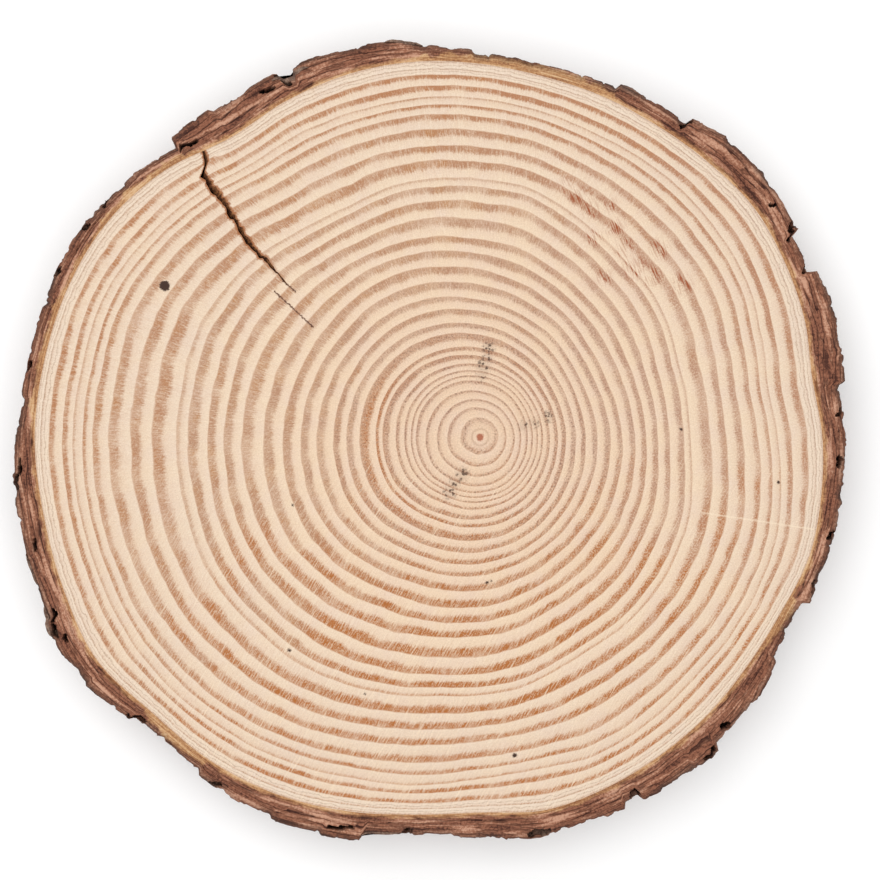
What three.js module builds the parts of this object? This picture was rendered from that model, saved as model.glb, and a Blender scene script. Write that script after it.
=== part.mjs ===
// Wood slice: a disc sawn straight across a pine trunk, with its bark left on and one drying crack.
// Millimetres, +Z up. The slice lies on its lower sawn face, and the origin is under the middle of its outline.

import * as THREE from "three";

const THICKNESS = 25;

// Radius of the wood about the pith, at even angles anticlockwise from +X.
const WOOD_RADII = [
  104.0, 102.5, 104.9, 106.8, 108.6, 108.6, 108.9, 110.1, 111.3, 113.5, 115.9, 117.4,
  118.0, 118.6, 125.7, 130.8, 133.3, 134.5, 135.4, 134.8, 134.8, 134.8, 130.2, 128.1,
  125.0, 120.8, 116.5, 114.1, 115.0, 113.2, 111.0, 108.9, 106.8, 105.8, 106.4, 105.2,
];

// Bark plates round the trunk: the angle in degrees at which a plate starts, and the bark's thickness at the
// plate's start and at its end. A plate ends where the next one starts.
const BARK_PLATES = [
  [-4, 7.2, 7.6], [8.5, 9.2, 10.0], [14, 9.6, 8.6], [26.5, 5.8, 4.9], [33, 8.2, 9.0], [42.5, 9.2, 9.8],
  [51, 9.6, 7.6], [56.5, 5.4, 6.0], [68.5, 4.0, 3.2], [80, 3.2, 3.3], [91, 4.3, 5.2], [99, 5.8, 7.0],
  [107, 7.5, 8.6], [117.2, 5.2, 6.0], [119, 8.6, 9.2], [129.5, 10.6, 8.5], [136.2, 5.0, 5.2],
  [143, 4.6, 5.0], [152, 5.2, 4.8], [163, 5.2, 5.6], [175, 5.0, 6.6], [184.5, 7.2, 7.5], [195, 7.0, 6.6],
  [203, 8.2, 7.4], [212, 8.2, 6.6], [219, 4.8, 3.8], [230, 5.2, 7.2], [241, 8.0, 7.8], [248, 8.6, 9.2],
  [253.5, 6.0, 6.2], [262, 6.0, 7.6], [272, 7.8, 7.4], [281, 7.2, 7.8], [291.5, 6.0, 6.2],
  [294, 8.2, 9.4], [303, 10.6, 10.8], [307.5, 8.6, 8.2], [316, 8.4, 6.4], [323, 4.6, 3.8],
  [333, 5.8, 6.0], [345, 6.4, 7.2],
];

// The outline's points are about this far apart on a plate, and a step between plates takes up STEP_SPAN.
const POINT_SPACING = 2;
const STEP_SPAN = 0.5;

// Centre line of the drying crack from the bark inwards, about the pith: x, y and half the crack's width.
const CRACK = [
  [-83.7, 86.7, 0.4], [-84.2, 80.5, 0.7], [-80.5, 74.7, 0.6], [-74.2, 65.4, 0.65], [-68.8, 57.2, 0.5],
  [-63.7, 52.2, 0.35], [-57.1, 44.7, 0.1],
];

// Fissures in the bark's outer side run along the trunk and wander a little on the way.
const SIDE_LEVELS = 5;
const FISSURE_COUNT = 34;
const FISSURE_DEPTH = 1.8;
const FISSURE_WANDER = 1.4;

/** Radius of the wood at an angle in degrees: a closed Catmull-Rom curve through WOOD_RADII. */
function woodRadius(degrees) {
  const count = WOOD_RADII.length;
  const place = (THREE.MathUtils.euclideanModulo(degrees, 360) / 360) * count;
  const first = Math.floor(place);
  const t = place - first;
  const [a, b, c, d] = [-1, 0, 1, 2].map((step) => WOOD_RADII[(first + step + count) % count]);
  return b + 0.5 * t * (c - a + t * (2 * a - 5 * b + 4 * c - d + t * (3 * (b - c) + d - a)));
}

/** The bark's outline about the pith, plate by plate. */
function barkOutline() {
  return BARK_PLATES.flatMap(([start, thicknessAtStart, thicknessAtEnd], index) => {
    const next = BARK_PLATES[index + 1];
    const from = start + STEP_SPAN / 2;
    const to = (next ? next[0] : BARK_PLATES[0][0] + 360) - STEP_SPAN / 2;
    const spans = Math.ceil((to - from) / POINT_SPACING);
    return Array.from({ length: spans + 1 }, (_, step) => {
      const degrees = THREE.MathUtils.lerp(from, to, step / spans);
      const bark = THREE.MathUtils.lerp(thicknessAtStart, thicknessAtEnd, step / spans);
      const angle = THREE.MathUtils.degToRad(degrees);
      const radius = woodRadius(degrees) + bark;
      return new THREE.Vector2(radius * Math.cos(angle), radius * Math.sin(angle));
    });
  });
}

/** The crack's outline: its centre line pushed out by half the width, down one side and back up the other. */
function crackOutline() {
  const line = CRACK.map(([x, y]) => new THREE.Vector2(x, y));
  const side = (sign) => line.map((point, index) => {
    const before = line[Math.max(index - 1, 0)];
    const after = line[Math.min(index + 1, line.length - 1)];
    const along = after.clone().sub(before).normalize();
    const across = new THREE.Vector2(-along.y, along.x);
    return point.clone().addScaledVector(across, sign * CRACK[index][2]);
  });
  return [...side(1), ...side(-1).reverse()];
}

/** How far a fissure cuts in at an angle in radians and a height. It fades out at both sawn faces. */
function fissureDepth(angle, z) {
  const height = z / THICKNESS;
  const wander = FISSURE_WANDER * Math.sin(2 * angle + Math.PI * height);
  const wave = Math.sin(FISSURE_COUNT * angle + wander);
  return FISSURE_DEPTH * Math.sin(Math.PI * height) * Math.max(0, wave);
}

/** Cuts the fissures into the points on the bark's side. The wood, the crack and the sawn faces stay as they are. */
function cutFissures(geometry) {
  const place = geometry.getAttribute("position");
  for (let i = 0; i < place.count; i += 1) {
    const angle = Math.atan2(place.getY(i), place.getX(i));
    const radius = Math.hypot(place.getX(i), place.getY(i));
    if (radius > woodRadius(THREE.MathUtils.radToDeg(angle)) + 1) {
      const scale = 1 - fissureDepth(angle, place.getZ(i)) / radius;
      place.setXY(i, place.getX(i) * scale, place.getY(i) * scale);
    }
  }
}

/** The slice: the outline with the crack as a slot right through it, raised to the slice's thickness. */
function sliceGeometry() {
  const shape = new THREE.Shape(barkOutline());
  shape.holes.push(new THREE.Path(crackOutline()));
  const geometry = new THREE.ExtrudeGeometry(shape, {
    depth: THICKNESS,
    steps: SIDE_LEVELS,
    bevelEnabled: false,
  });
  cutFissures(geometry);
  geometry.computeBoundingBox();
  const middle = geometry.boundingBox.getCenter(new THREE.Vector3());
  geometry.translate(-middle.x, -middle.y, 0);
  geometry.computeVertexNormals();
  return geometry;
}

const sawnPine = new THREE.MeshStandardMaterial({ color: 0xe3c9a4, roughness: 0.75, metalness: 0 });

const woodSlice = new THREE.Mesh(sliceGeometry(), sawnPine);
woodSlice.name = "wood_slice";

const model = new THREE.Group();
model.add(woodSlice);

export default model;
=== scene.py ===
"""A slice sawn across a pine trunk: wood with its rings and drying crack, the bark and its loose scales."""

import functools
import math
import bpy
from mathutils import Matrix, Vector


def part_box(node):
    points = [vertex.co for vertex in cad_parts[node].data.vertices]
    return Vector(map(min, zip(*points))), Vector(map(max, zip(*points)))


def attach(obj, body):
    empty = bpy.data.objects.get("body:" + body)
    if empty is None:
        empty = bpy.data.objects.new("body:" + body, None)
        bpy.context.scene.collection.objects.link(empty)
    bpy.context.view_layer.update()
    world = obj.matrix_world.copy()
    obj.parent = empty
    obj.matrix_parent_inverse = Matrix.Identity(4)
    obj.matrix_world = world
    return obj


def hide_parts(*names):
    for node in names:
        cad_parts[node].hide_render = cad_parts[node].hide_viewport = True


bl_info = {
    "name": "Wood slice",
    "version": (1, 0, 0),
    "blender": (4, 5, 0),
    "location": "View3D > Sidebar > Wood slice",
    "description": "Builds a sawn pine slice with its rings, drying crack and scaly bark",
    "category": "Object",
}

import bpy
import numpy as np
from bpy.props import FloatProperty, FloatVectorProperty, IntProperty, PointerProperty

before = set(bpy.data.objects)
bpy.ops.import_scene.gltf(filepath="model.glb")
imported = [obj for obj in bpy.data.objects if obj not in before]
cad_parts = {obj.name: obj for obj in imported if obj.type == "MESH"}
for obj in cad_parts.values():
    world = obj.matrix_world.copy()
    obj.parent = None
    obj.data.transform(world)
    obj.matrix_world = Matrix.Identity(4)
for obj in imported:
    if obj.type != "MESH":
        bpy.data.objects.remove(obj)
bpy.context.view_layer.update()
SLICE_LOW, SLICE_HIGH = (np.array(corner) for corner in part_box("wood_slice"))

# Lengths below are in millimetres and angles in degrees, anticlockwise about the pith from +X.
MM = 0.001
THICKNESS = (SLICE_HIGH[2] - SLICE_LOW[2]) / MM
RING_COUNT = 32

# Where each annual ring ends, from the pith out, in four directions.
RINGS_EAST = [
    5.5, 8, 10.5, 12.5, 14.5, 16, 17.5, 19, 21, 23.5, 26, 29, 32, 35.5, 39.5, 43, 47, 50.5, 54, 57.5, 62, 64,
    70, 75, 80, 84.5, 88, 90.5, 94.5, 99.5, 102, 104,
]
RINGS_NORTH = [
    6, 9, 11.5, 14, 17, 18.5, 20, 22, 24.5, 27, 31, 34, 38, 41.5, 46, 50.5, 55.5, 60, 66, 71.5, 76, 78.5,
    84, 88.5, 93.5, 98, 101, 103.5, 106.5, 109.5, 111, 113,
]
RINGS_WEST = [
    6, 10, 13, 16.5, 19.5, 21, 23, 25.5, 29.5, 31.5, 36.5, 40.5, 44.5, 49.5, 54.5, 60, 66, 72.5, 78, 83,
    89, 92.5, 100, 106.5, 113, 118, 121, 124, 127, 131, 133.5, 135,
]
RINGS_SOUTH = [
    5.5, 9, 12, 15, 17, 18.5, 20, 22, 25, 27.5, 31.5, 35, 38.5, 42, 46.5, 51.5, 56, 60.5, 66.5, 72, 76, 78.5,
    83.5, 88, 92.5, 97.5, 101, 104, 107, 110.5, 112.5, 114.5,
]

# The full outlines of some rings, at even angles. The last one is the wood's edge under the bark.
RING_OUTLINES = {
    10: [23.7, 23.8, 25.2, 27.2, 29.6, 31.5, 31.8, 31.4, 28.8, 27.4, 26.2, 24.6],
    16: [43.2, 42.4, 46.2, 51, 56.2, 57.8, 60.1, 60, 54.8, 51.8, 47.4, 45],
    22: [
        64, 64, 64.5, 66.5, 68.5, 69.5, 71.5, 74.5, 77.5, 78.5, 80, 81, 81, 83.2, 87, 90, 92, 92,
        92.5, 92.5, 92.5, 92, 90, 88.5, 86, 83, 80, 78.5, 77, 74, 72.5, 72, 71, 69.5, 68, 65.5,
    ],
    28: [
        90.5, 89, 91, 94, 95.5, 97, 98, 99, 101, 103, 105, 106, 107.5, 108.5, 114, 118.6, 122.4, 123,
        124, 124, 123.5, 123, 121, 118, 114.5, 110.5, 107.5, 104, 102.5, 103, 101, 98.5, 97.5, 96.5, 95.5, 93,
    ],
    32: [
        104.0, 102.5, 104.9, 106.8, 108.6, 108.6, 108.9, 110.1, 111.3, 113.5, 115.9, 117.4,
        118.0, 118.6, 125.7, 130.8, 133.3, 134.5, 135.4, 134.8, 134.8, 134.8, 130.2, 128.1,
        125.0, 120.8, 116.5, 114.1, 115.0, 113.2, 111.0, 108.9, 106.8, 105.8, 106.4, 105.2,
    ],
}

# Latewood of each ring: its share of the ring's width, how dark it is, and how red.
LATEWOOD = [
    (0.26, 0.65, 0.0), (0.26, 0.85, 0.0), (0.28, 0.85, 0.0), (0.28, 0.85, 0.1), (0.32, 0.85, 0.1),
    (0.36, 0.85, 0.1), (0.36, 0.85, 0.1), (0.42, 0.90, 0.2), (0.50, 0.90, 0.35), (0.50, 0.92, 0.4),
    (0.56, 0.92, 0.3), (0.50, 0.75, 0.1), (0.45, 0.92, 0.2), (0.45, 0.82, 0.1), (0.50, 0.85, 0.1),
    (0.52, 0.92, 0.2), (0.50, 0.88, 0.1), (0.50, 0.88, 0.2), (0.50, 0.88, 0.1), (0.48, 0.92, 0.2),
    (0.48, 0.92, 0.1), (0.34, 0.55, 0.0), (0.50, 0.92, 0.3), (0.48, 0.90, 0.3), (0.46, 0.85, 0.3),
    (0.40, 0.85, 0.4), (0.36, 0.85, 0.5), (0.24, 0.60, 0.2), (0.50, 0.92, 0.5), (0.42, 0.92, 0.5),
    (0.16, 0.85, 0.0), (0.22, 0.75, 0.0),
]

# Bark plates round the trunk: the angle at which a plate starts, and the bark's thickness at its two ends.
# A plate ends where the next one starts, and a step between two plates takes STEP_SPAN.
BARK_PLATES = [
    (-4, 7.2, 7.6), (8.5, 9.2, 10.0), (14, 9.6, 8.6), (26.5, 5.8, 4.9), (33, 8.2, 9.0), (42.5, 9.2, 9.8),
    (51, 9.6, 7.6), (56.5, 5.4, 6.0), (68.5, 4.0, 3.2), (80, 3.2, 3.3), (91, 4.3, 5.2), (99, 5.8, 7.0),
    (107, 7.5, 8.6), (117.2, 5.2, 6.0), (119, 8.6, 9.2), (129.5, 10.6, 8.5), (136.2, 5.0, 5.2),
    (143, 4.6, 5.0), (152, 5.2, 4.8), (163, 5.2, 5.6), (175, 5.0, 6.6), (184.5, 7.2, 7.5), (195, 7.0, 6.6),
    (203, 8.2, 7.4), (212, 8.2, 6.6), (219, 4.8, 3.8), (230, 5.2, 7.2), (241, 8.0, 7.8), (248, 8.6, 9.2),
    (253.5, 6.0, 6.2), (262, 6.0, 7.6), (272, 7.8, 7.4), (281, 7.2, 7.8), (291.5, 6.0, 6.2),
    (294, 8.2, 9.4), (303, 10.6, 10.8), (307.5, 8.6, 8.2), (316, 8.4, 6.4), (323, 4.6, 3.8),
    (333, 5.8, 6.0), (345, 6.4, 7.2),
]
STEP_SPAN = 0.5

# The drying crack's centre line about the pith, from its tip to the bark, and half its width at some radii.
CRACK_LINE = [
    (-55.3, 43.0), (-57.1, 44.7), (-59.1, 47.1), (-63.7, 52.2), (-66.2, 54.9), (-68.8, 57.2), (-71.8, 61.3),
    (-74.2, 65.4), (-76.2, 68.7), (-78.6, 72.2), (-80.5, 74.7), (-82.7, 77.6), (-84.3, 80.1), (-83.3, 83.2),
    (-83.7, 86.7),
]
CRACK_HALF_WIDTH = [
    (74, 0.05), (77, 0.3), (82, 0.44), (90, 0.62), (100, 0.76), (112, 0.84), (118, 0.75), (121, 0.55),
]
CRACK_TIP = 74
CRACK_LEAN = 2.2


def linear(hex_colour):
    """An sRGB hex colour as linear red, green and blue."""
    parts = (int(hex_colour[start:start + 2], 16) / 255 for start in (1, 3, 5))
    return tuple(part / 12.92 if part <= 0.04045 else ((part + 0.055) / 1.055) ** 2.4 for part in parts)


def ease(share):
    """0 below 0 and 1 above 1, with a smooth S between them."""
    share = np.clip(share, 0, 1)
    return share * share * (3 - 2 * share)


def closed_curve(values, degrees):
    """The value at any angle: a closed Catmull-Rom curve through values at even angles."""
    values = np.asarray(values, float)
    place = np.mod(degrees, 360.0) / 360.0 * len(values)
    first = np.floor(place).astype(int)
    t = place - first
    a, b, c, d = (values[(first + step) % len(values)] for step in (-1, 0, 1, 2))
    return b + 0.5 * t * (c - a + t * (2 * a - 5 * b + 4 * c - d + t * (3 * (b - c) + d - a)))


def ring_outline_table(degrees):
    """Radius of every ring's outer edge at each angle, one row to a ring, from the pith to the bark.

    A first guess at a ring is a0 + a1 cos + b1 sin + a2 cos 2 of the angle, through its four measured radii.
    Between two rings with a full outline, a ring keeps its guessed share of the way from one to the other.
    """
    east, north, west, south = (np.array(radii, float)[:, None] for radii in
                                (RINGS_EAST, RINGS_NORTH, RINGS_WEST, RINGS_SOUTH))
    angle = np.radians(degrees)[None, :]
    guess = (
        (east + north + west + south) / 4
        + (east - west) / 2 * np.cos(angle)
        + (north - south) / 2 * np.sin(angle)
        + (east - north + west - south) / 4 * np.cos(2 * angle)
    )
    guess = np.vstack([np.zeros_like(angle), guess])
    table = np.zeros_like(guess)
    known = [0] + sorted(RING_OUTLINES)
    for inner, outer in zip(known, known[1:]):
        share = (guess[inner:outer + 1] - guess[inner]) / (guess[outer] - guess[inner])
        end = closed_curve(RING_OUTLINES[outer], degrees)
        table[inner:outer + 1] = table[inner] + share * (end - table[inner])
    return table


TABLE_STEP = 0.25
RING_TABLE = ring_outline_table(np.arange(0, 360 + TABLE_STEP, TABLE_STEP))


def ring_radius(ring, degrees):
    """Radius at a ring number, whole or not, and an angle, blended between the ring table's entries."""
    place = np.mod(degrees, 360.0) / TABLE_STEP
    column = np.minimum(place.astype(int), RING_TABLE.shape[1] - 2)
    row = np.minimum(np.asarray(ring).astype(int), RING_COUNT - 1)
    across = place - column
    out = ring - row
    inner = RING_TABLE[row, column] * (1 - across) + RING_TABLE[row, column + 1] * across
    outer = RING_TABLE[row + 1, column] * (1 - across) + RING_TABLE[row + 1, column + 1] * across
    return inner * (1 - out) + outer * out


def wood_radius(degrees):
    """Radius of the wood under the bark at any angle."""
    return closed_curve(RING_OUTLINES[RING_COUNT], degrees)


def plate_thickness(degrees):
    """Thickness of the bark's plates at any angle, straight along a plate and stepped between plates."""
    starts = [plate[0] for plate in BARK_PLATES] + [BARK_PLATES[0][0] + 360]
    angles = [[start + STEP_SPAN / 2, end - STEP_SPAN / 2] for start, end in zip(starts, starts[1:])]
    values = [plate[1:] for plate in BARK_PLATES]
    return np.interp(degrees, np.ravel(angles), np.ravel(values), period=360)


def pith_place():
    """Where the pith stands, so that the middle of the bark's outline is the middle of the CAD slice."""
    degrees = np.arange(0, 360, 0.1)
    radius = wood_radius(degrees) + plate_thickness(degrees)
    outline = radius * np.array([np.cos(np.radians(degrees)), np.sin(np.radians(degrees))])
    middle = (outline.max(axis=1) + outline.min(axis=1)) / 2
    return (SLICE_LOW[:2] + SLICE_HIGH[:2]) / 2 / MM - middle


PITH = pith_place()


def trunk_points(radius, degrees, height):
    """Points at a radius and an angle about the pith, and at a height."""
    turn = np.radians(degrees)
    return np.stack([PITH[0] + radius * np.cos(turn), PITH[1] + radius * np.sin(turn), height], axis=-1)


def crack_place(radius):
    """The crack's angle and half its width at a radius."""
    x, y = np.array(CRACK_LINE).T
    angle = np.interp(radius, np.hypot(x, y), np.degrees(np.arctan2(y, x)))
    return angle, np.interp(radius, *np.array(CRACK_HALF_WIDTH).T)


# After so many units upwards, the noises below repeat.
NOISE_ROWS = 64


def value_noise(x, y, period, seed):
    """Smooth noise from 0 to 1: random heights on a unit lattice, eased from corner to corner.

    x repeats after period, which is a whole number.
    """
    heights = np.random.default_rng(seed).random((period, NOISE_ROWS))
    column, row = np.floor(x).astype(int), np.floor(y).astype(int)
    across, up = ease(x - column), ease(y - row)
    near, far = column % period, (column + 1) % period
    below, above = row % NOISE_ROWS, (row + 1) % NOISE_ROWS
    low = heights[near, below] * (1 - across) + heights[far, below] * across
    high = heights[near, above] * (1 - across) + heights[far, above] * across
    return low * (1 - up) + high * up


def cells(x, y, period, seed):
    """Cracked-mud cells round one random point in each unit square; x repeats after period.

    Returns how much further the second nearest point is than the nearest, which is 0 on a border, and the
    nearest point's own random number.
    """
    point_x, point_y, number = np.random.default_rng(seed).random((3, period, NOISE_ROWS))
    column, row = np.floor(x).astype(int), np.floor(y).astype(int)
    first = np.full(x.shape, np.inf)
    second = np.full(x.shape, np.inf)
    own = np.zeros(x.shape)
    for step_x in (-1, 0, 1):
        for step_y in (-1, 0, 1):
            at = (column + step_x) % period, (row + step_y) % NOISE_ROWS
            away = np.hypot(column + step_x + point_x[at] - x, row + step_y + point_y[at] - y)
            nearer = away < first
            second = np.where(nearer, first, np.minimum(second, away))
            own = np.where(nearer, number[at], own)
            first = np.where(nearer, away, first)
    return second - first, own


def new_piece(name, points, faces, attributes=None, face_materials=None, sharp=math.radians(35)):
    """Makes a mesh object from points in millimetres, faces, and one number a point for each attribute."""
    used, flat = np.unique(np.concatenate([np.ravel(group) for group in faces]), return_inverse=True)
    mesh = bpy.data.meshes.new(name)
    split = np.split(flat, np.cumsum([np.size(group) for group in faces])[:-1])
    polygons = []
    for part, group in zip(split, faces):
        polygons += part.reshape(np.shape(group)).tolist()
    mesh.from_pydata((points[used] * MM).tolist(), [], polygons)
    for attribute, values in (attributes or {}).items():
        layer = mesh.attributes.new(attribute, "FLOAT", "POINT")
        layer.data.foreach_set("value", values[used].astype(np.float32))
    if face_materials is not None:
        mesh.polygons.foreach_set("material_index", face_materials)
    mesh.shade_smooth()
    mesh.set_sharp_from_angle(angle=sharp)
    mesh.update()
    piece = bpy.data.objects.new(name, mesh)
    bpy.context.scene.collection.objects.link(piece)
    return piece


def quads(grid):
    """The four corners of every cell in a grid of point numbers, turned from the first axis to the second."""
    corners = grid[:-1, :-1], grid[1:, :-1], grid[1:, 1:], grid[:-1, 1:]
    return np.stack([corner.ravel() for corner in corners], axis=1)


def fill(node, values=(), named=None):
    """Fills a node's inputs in use: the values in order, then the named ones.

    An input takes a value, an output socket, or a node, whose first output in use is linked.
    """
    sockets = [socket for socket in node.inputs if socket.enabled]
    by_name = {socket.name: socket for socket in sockets}
    chosen = [(by_name[name], value) for name, value in (named or {}).items()]
    for socket, value in [*zip(sockets, values), *chosen]:
        if isinstance(value, bpy.types.Node):
            value = next(output for output in value.outputs if output.enabled)
        if isinstance(value, bpy.types.NodeSocket):
            node.id_data.links.new(value, socket)
        elif socket.type == "RGBA" and len(value) == 3:
            socket.default_value = (*value, 1.0)
        else:
            socket.default_value = value


def add_node(tree, kind, *values, named=None, stops=None, **settings):
    """Adds a shader node of a kind, which an operation may follow, sets its properties and fills its inputs.

    stops are a colour ramp's positions and colours.
    """
    kind, _, operation = kind.partition(" ")
    node = tree.nodes.new("ShaderNode" + kind)
    if operation:
        node.operation = operation
    for name, value in settings.items():
        setattr(node, name, value)
    fill(node, values, named)
    if stops:
        ramp = node.color_ramp
        while len(ramp.elements) < len(stops):
            ramp.elements.new(1.0)
        for element, (position, colour) in zip(ramp.elements, stops):
            element.position = position
            element.color = (*colour, 1.0)
    return node


def new_material(name):
    """A material with nothing but a shader and its output.

    Returns the material, a function that adds a node to it, and the shader.
    """
    material = bpy.data.materials.new(name)
    material.use_nodes = True
    material.node_tree.nodes.clear()
    add = functools.partial(add_node, material.node_tree)
    shader = add("BsdfPrincipled")
    add("OutputMaterial", shader)
    return material, add, shader


def about_pith(add):
    """Places about the pith in millimetres, the same places laid flat, and the flat direction outwards."""
    middle = add("VectorMath SUBTRACT", add("TexCoord").outputs["Object"], (*(PITH * MM), 0))
    in_mm = add("VectorMath SCALE", middle, 1 / MM)
    flat = add("VectorMath MULTIPLY", in_mm, (1, 1, 0))
    return in_mm, flat, add("VectorMath NORMALIZE", flat)


def masks_of_spots(add, place, spots, soft):
    """The largest of several round masks on place, each (x, y, radius) about the pith, with soft edges."""
    total = None
    for x, y, radius in spots:
        away = add("VectorMath DISTANCE", place, (x, y, 0))
        spot = add("MapRange", away, radius + soft / 2, radius - soft / 2)
        total = spot if total is None else add("Math MAXIMUM", total, spot)
    return total


def line_mask(add, place, start, end, half_width):
    """A mask along a straight line on place, from start to end, that fades over half_width to each side."""
    start, end = np.array(start, float), np.array(end, float)
    length = np.hypot(*(end - start))
    along = (end - start) / length
    from_start = add("VectorMath SUBTRACT", place, (*start, 0))
    run = add("VectorMath DOT_PRODUCT", from_start, (*along, 0))
    off = add("Math ABSOLUTE", add("VectorMath DOT_PRODUCT", from_start, (-along[1], along[0], 0)))
    beside = add("MapRange", off, half_width * 1.6, half_width * 0.4)
    after, before = add("Math GREATER_THAN", run, 0.0), add("Math LESS_THAN", run, float(length))
    return add("Math MULTIPLY", beside, add("Math MULTIPLY", after, before))


def colour_setting(name, description, hex_colour):
    """A colour that the user may change."""
    return FloatVectorProperty(
        name=name, description=description, subtype="COLOR", size=3, min=0, max=1, default=linear(hex_colour))


def length_setting(name, description, default, low, high):
    """A length in metres that the user may change."""
    return FloatProperty(
        name=name, description=description, default=default, min=low, max=high, unit="LENGTH",
        subtype="DISTANCE")


class WoodSettings(bpy.types.PropertyGroup):
    """Sizes and colours of the sawn wood."""

    earlywood: colour_setting("Earlywood", "Pale wood grown in spring", "#E8D2B6")
    heartwood: colour_setting("Inner earlywood", "Pale wood near the pith", "#E3C8AC")
    latewood: colour_setting("Latewood", "Dense wood grown in summer", "#AE8569")
    resinous: colour_setting("Resinous latewood", "Latewood soaked with resin", "#A9642A")
    stroke_width: length_setting(
        "Saw stroke", "Width of the fine strokes left across the rings", 0.00042, 0.0001, 0.003)
    ring_wobble: FloatProperty(
        name="Ring wobble", description="How far a ring strays, as a share of its width", default=0.08, min=0,
        max=0.5)


class BarkSettings(bpy.types.PropertyGroup):
    """Sizes and colours of the bark."""

    plate_width: length_setting("Plate width", "Width of a bark plate round the trunk", 0.013, 0.004, 0.04)
    plate_height: length_setting("Plate height", "Height of a bark plate along the trunk", 0.055, 0.008, 0.1)
    fissure_depth: length_setting("Fissure depth", "Depth of the fissures between plates", 0.0028, 0, 0.005)
    layer: length_setting("Bark layer", "Thickness of one layer of cork", 0.0008, 0.0002, 0.003)
    inner_width: length_setting("Inner bark", "Width of the tan inner bark", 0.0010, 0.0005, 0.004)
    cut_cork: colour_setting("Sawn cork", "Colour of the sawn outer bark", "#865540")
    inner_bark: colour_setting("Sawn inner bark", "Colour of the sawn inner bark", "#BC8C60")
    crust: colour_setting("Crust", "Colour of the weathered outside", "#6A5246")
    scale_count: IntProperty(
        name="Loose scales", description="Number of loose bark scales", default=22, min=1, max=60)


class StageSettings(bpy.types.PropertyGroup):
    """The floor, the light and the camera."""

    floor_colour: colour_setting("Floor", "Colour of the floor", "#FFFFFF")
    dome_strength: FloatProperty(
        name="Dome", description="Strength of the light from all round", default=0.78, min=0)
    top_power: FloatProperty(
        name="Top light", description="Power of the large soft light overhead", default=8.8, min=0,
        unit="POWER")
    key_power: FloatProperty(
        name="Key light", description="Power of the soft light from the upper left", default=3.0, min=0,
        unit="POWER")
    lens: FloatProperty(name="Lens", description="Focal length", default=85.0, min=10, unit="CAMERA")
    view_width: length_setting("View width", "Width seen at the top of the slice", 0.2675, 0.05, 2.0)


# The wood's grid: columns round the pith start at the crack, where they are closer together.
CRACK_ANGLE = 139.0
NEAR_CRACK = 2.4
NEAR_STEP = 0.2
MIDDLE_COLUMNS = 356

# How far round the crack's turn and its opening reach, how often a point is moved to the radius of its own
# ring, the least radius that turns are worked out at, and a noise period that no radius comes to.
PULL_SPAN = 14.0
OPENING_SPAN = 3
SETTLING_ROUNDS = 3
LEAST_TURN_RADIUS = 5
ENDLESS = 512

# How many inner rings have fewer rows of points, the rows to a ring there and further out, and the steps down
# through the slice.
INNER_RINGS = 20
INNER_STEPS = 2
OUTER_STEPS = 6
DEPTH_LEVELS = 8


def wood_columns():
    """Angles from the crack all the way round, from 0 to 360, with small steps beside the crack."""
    near = np.arange(0, NEAR_CRACK, NEAR_STEP)
    middle = np.linspace(NEAR_CRACK, 360 - NEAR_CRACK, MIDDLE_COLUMNS)
    return np.concatenate([near, middle, 360 - near[::-1]])


def wood_lattice():
    """Points of the wood at every depth, ring number and column, and each point's distance from the crack.

    A column's angle is its own plus the crack's turn at that radius, fading out away from the crack. At the
    crack itself, the first and the last column part by the crack's width. The crack leans as it goes down.
    """
    rings = np.concatenate([
        np.arange(0, INNER_RINGS, 1 / INNER_STEPS),
        np.arange(INNER_RINGS, RING_COUNT + 1e-6, 1 / OUTER_STEPS),
    ])
    columns = wood_columns()
    depth = np.linspace(0, 1, DEPTH_LEVELS + 1)
    down, ring, column = np.meshgrid(depth, rings, columns, indexing="ij")
    away = np.minimum(column, 360 - column)
    side = np.where(column < 180, 1.0, -1.0)
    pull = 1 - ease(away / PULL_SPAN)
    opening = 1 - ease(away / OPENING_SPAN)
    angle = CRACK_ANGLE + column
    for _ in range(SETTLING_ROUNDS):
        radius = ring_radius(ring, angle)
        safe = np.maximum(radius, LEAST_TURN_RADIUS)
        line, half = crack_place(radius)
        lean = np.degrees(CRACK_LEAN * ease(down * 5) / safe)
        crumbs = value_noise(radius / 0.9 + 40, down * 9 + side * 7 + 8, ENDLESS, seed=5) - 0.5
        sway = 0.5 * (value_noise(radius / 1.7 + 90, down * 4, ENDLESS, seed=6) - 0.5)
        half = np.where(radius > CRACK_TIP, half * (1 + 1.3 * crumbs), 0)
        centre = line + lean + np.degrees(sway / safe)
        opened = side * opening * np.degrees(half / safe)
        angle = CRACK_ANGLE + column + (centre - CRACK_ANGLE) * pull + opened
    wrapped = np.where(column < 180, angle, angle - 360)
    apart = np.abs(np.radians(wrapped - centre)) * radius - half
    return trunk_points(radius, angle, THICKNESS * (1 - down)), ring, radius, np.maximum(apart, 0)


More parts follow.
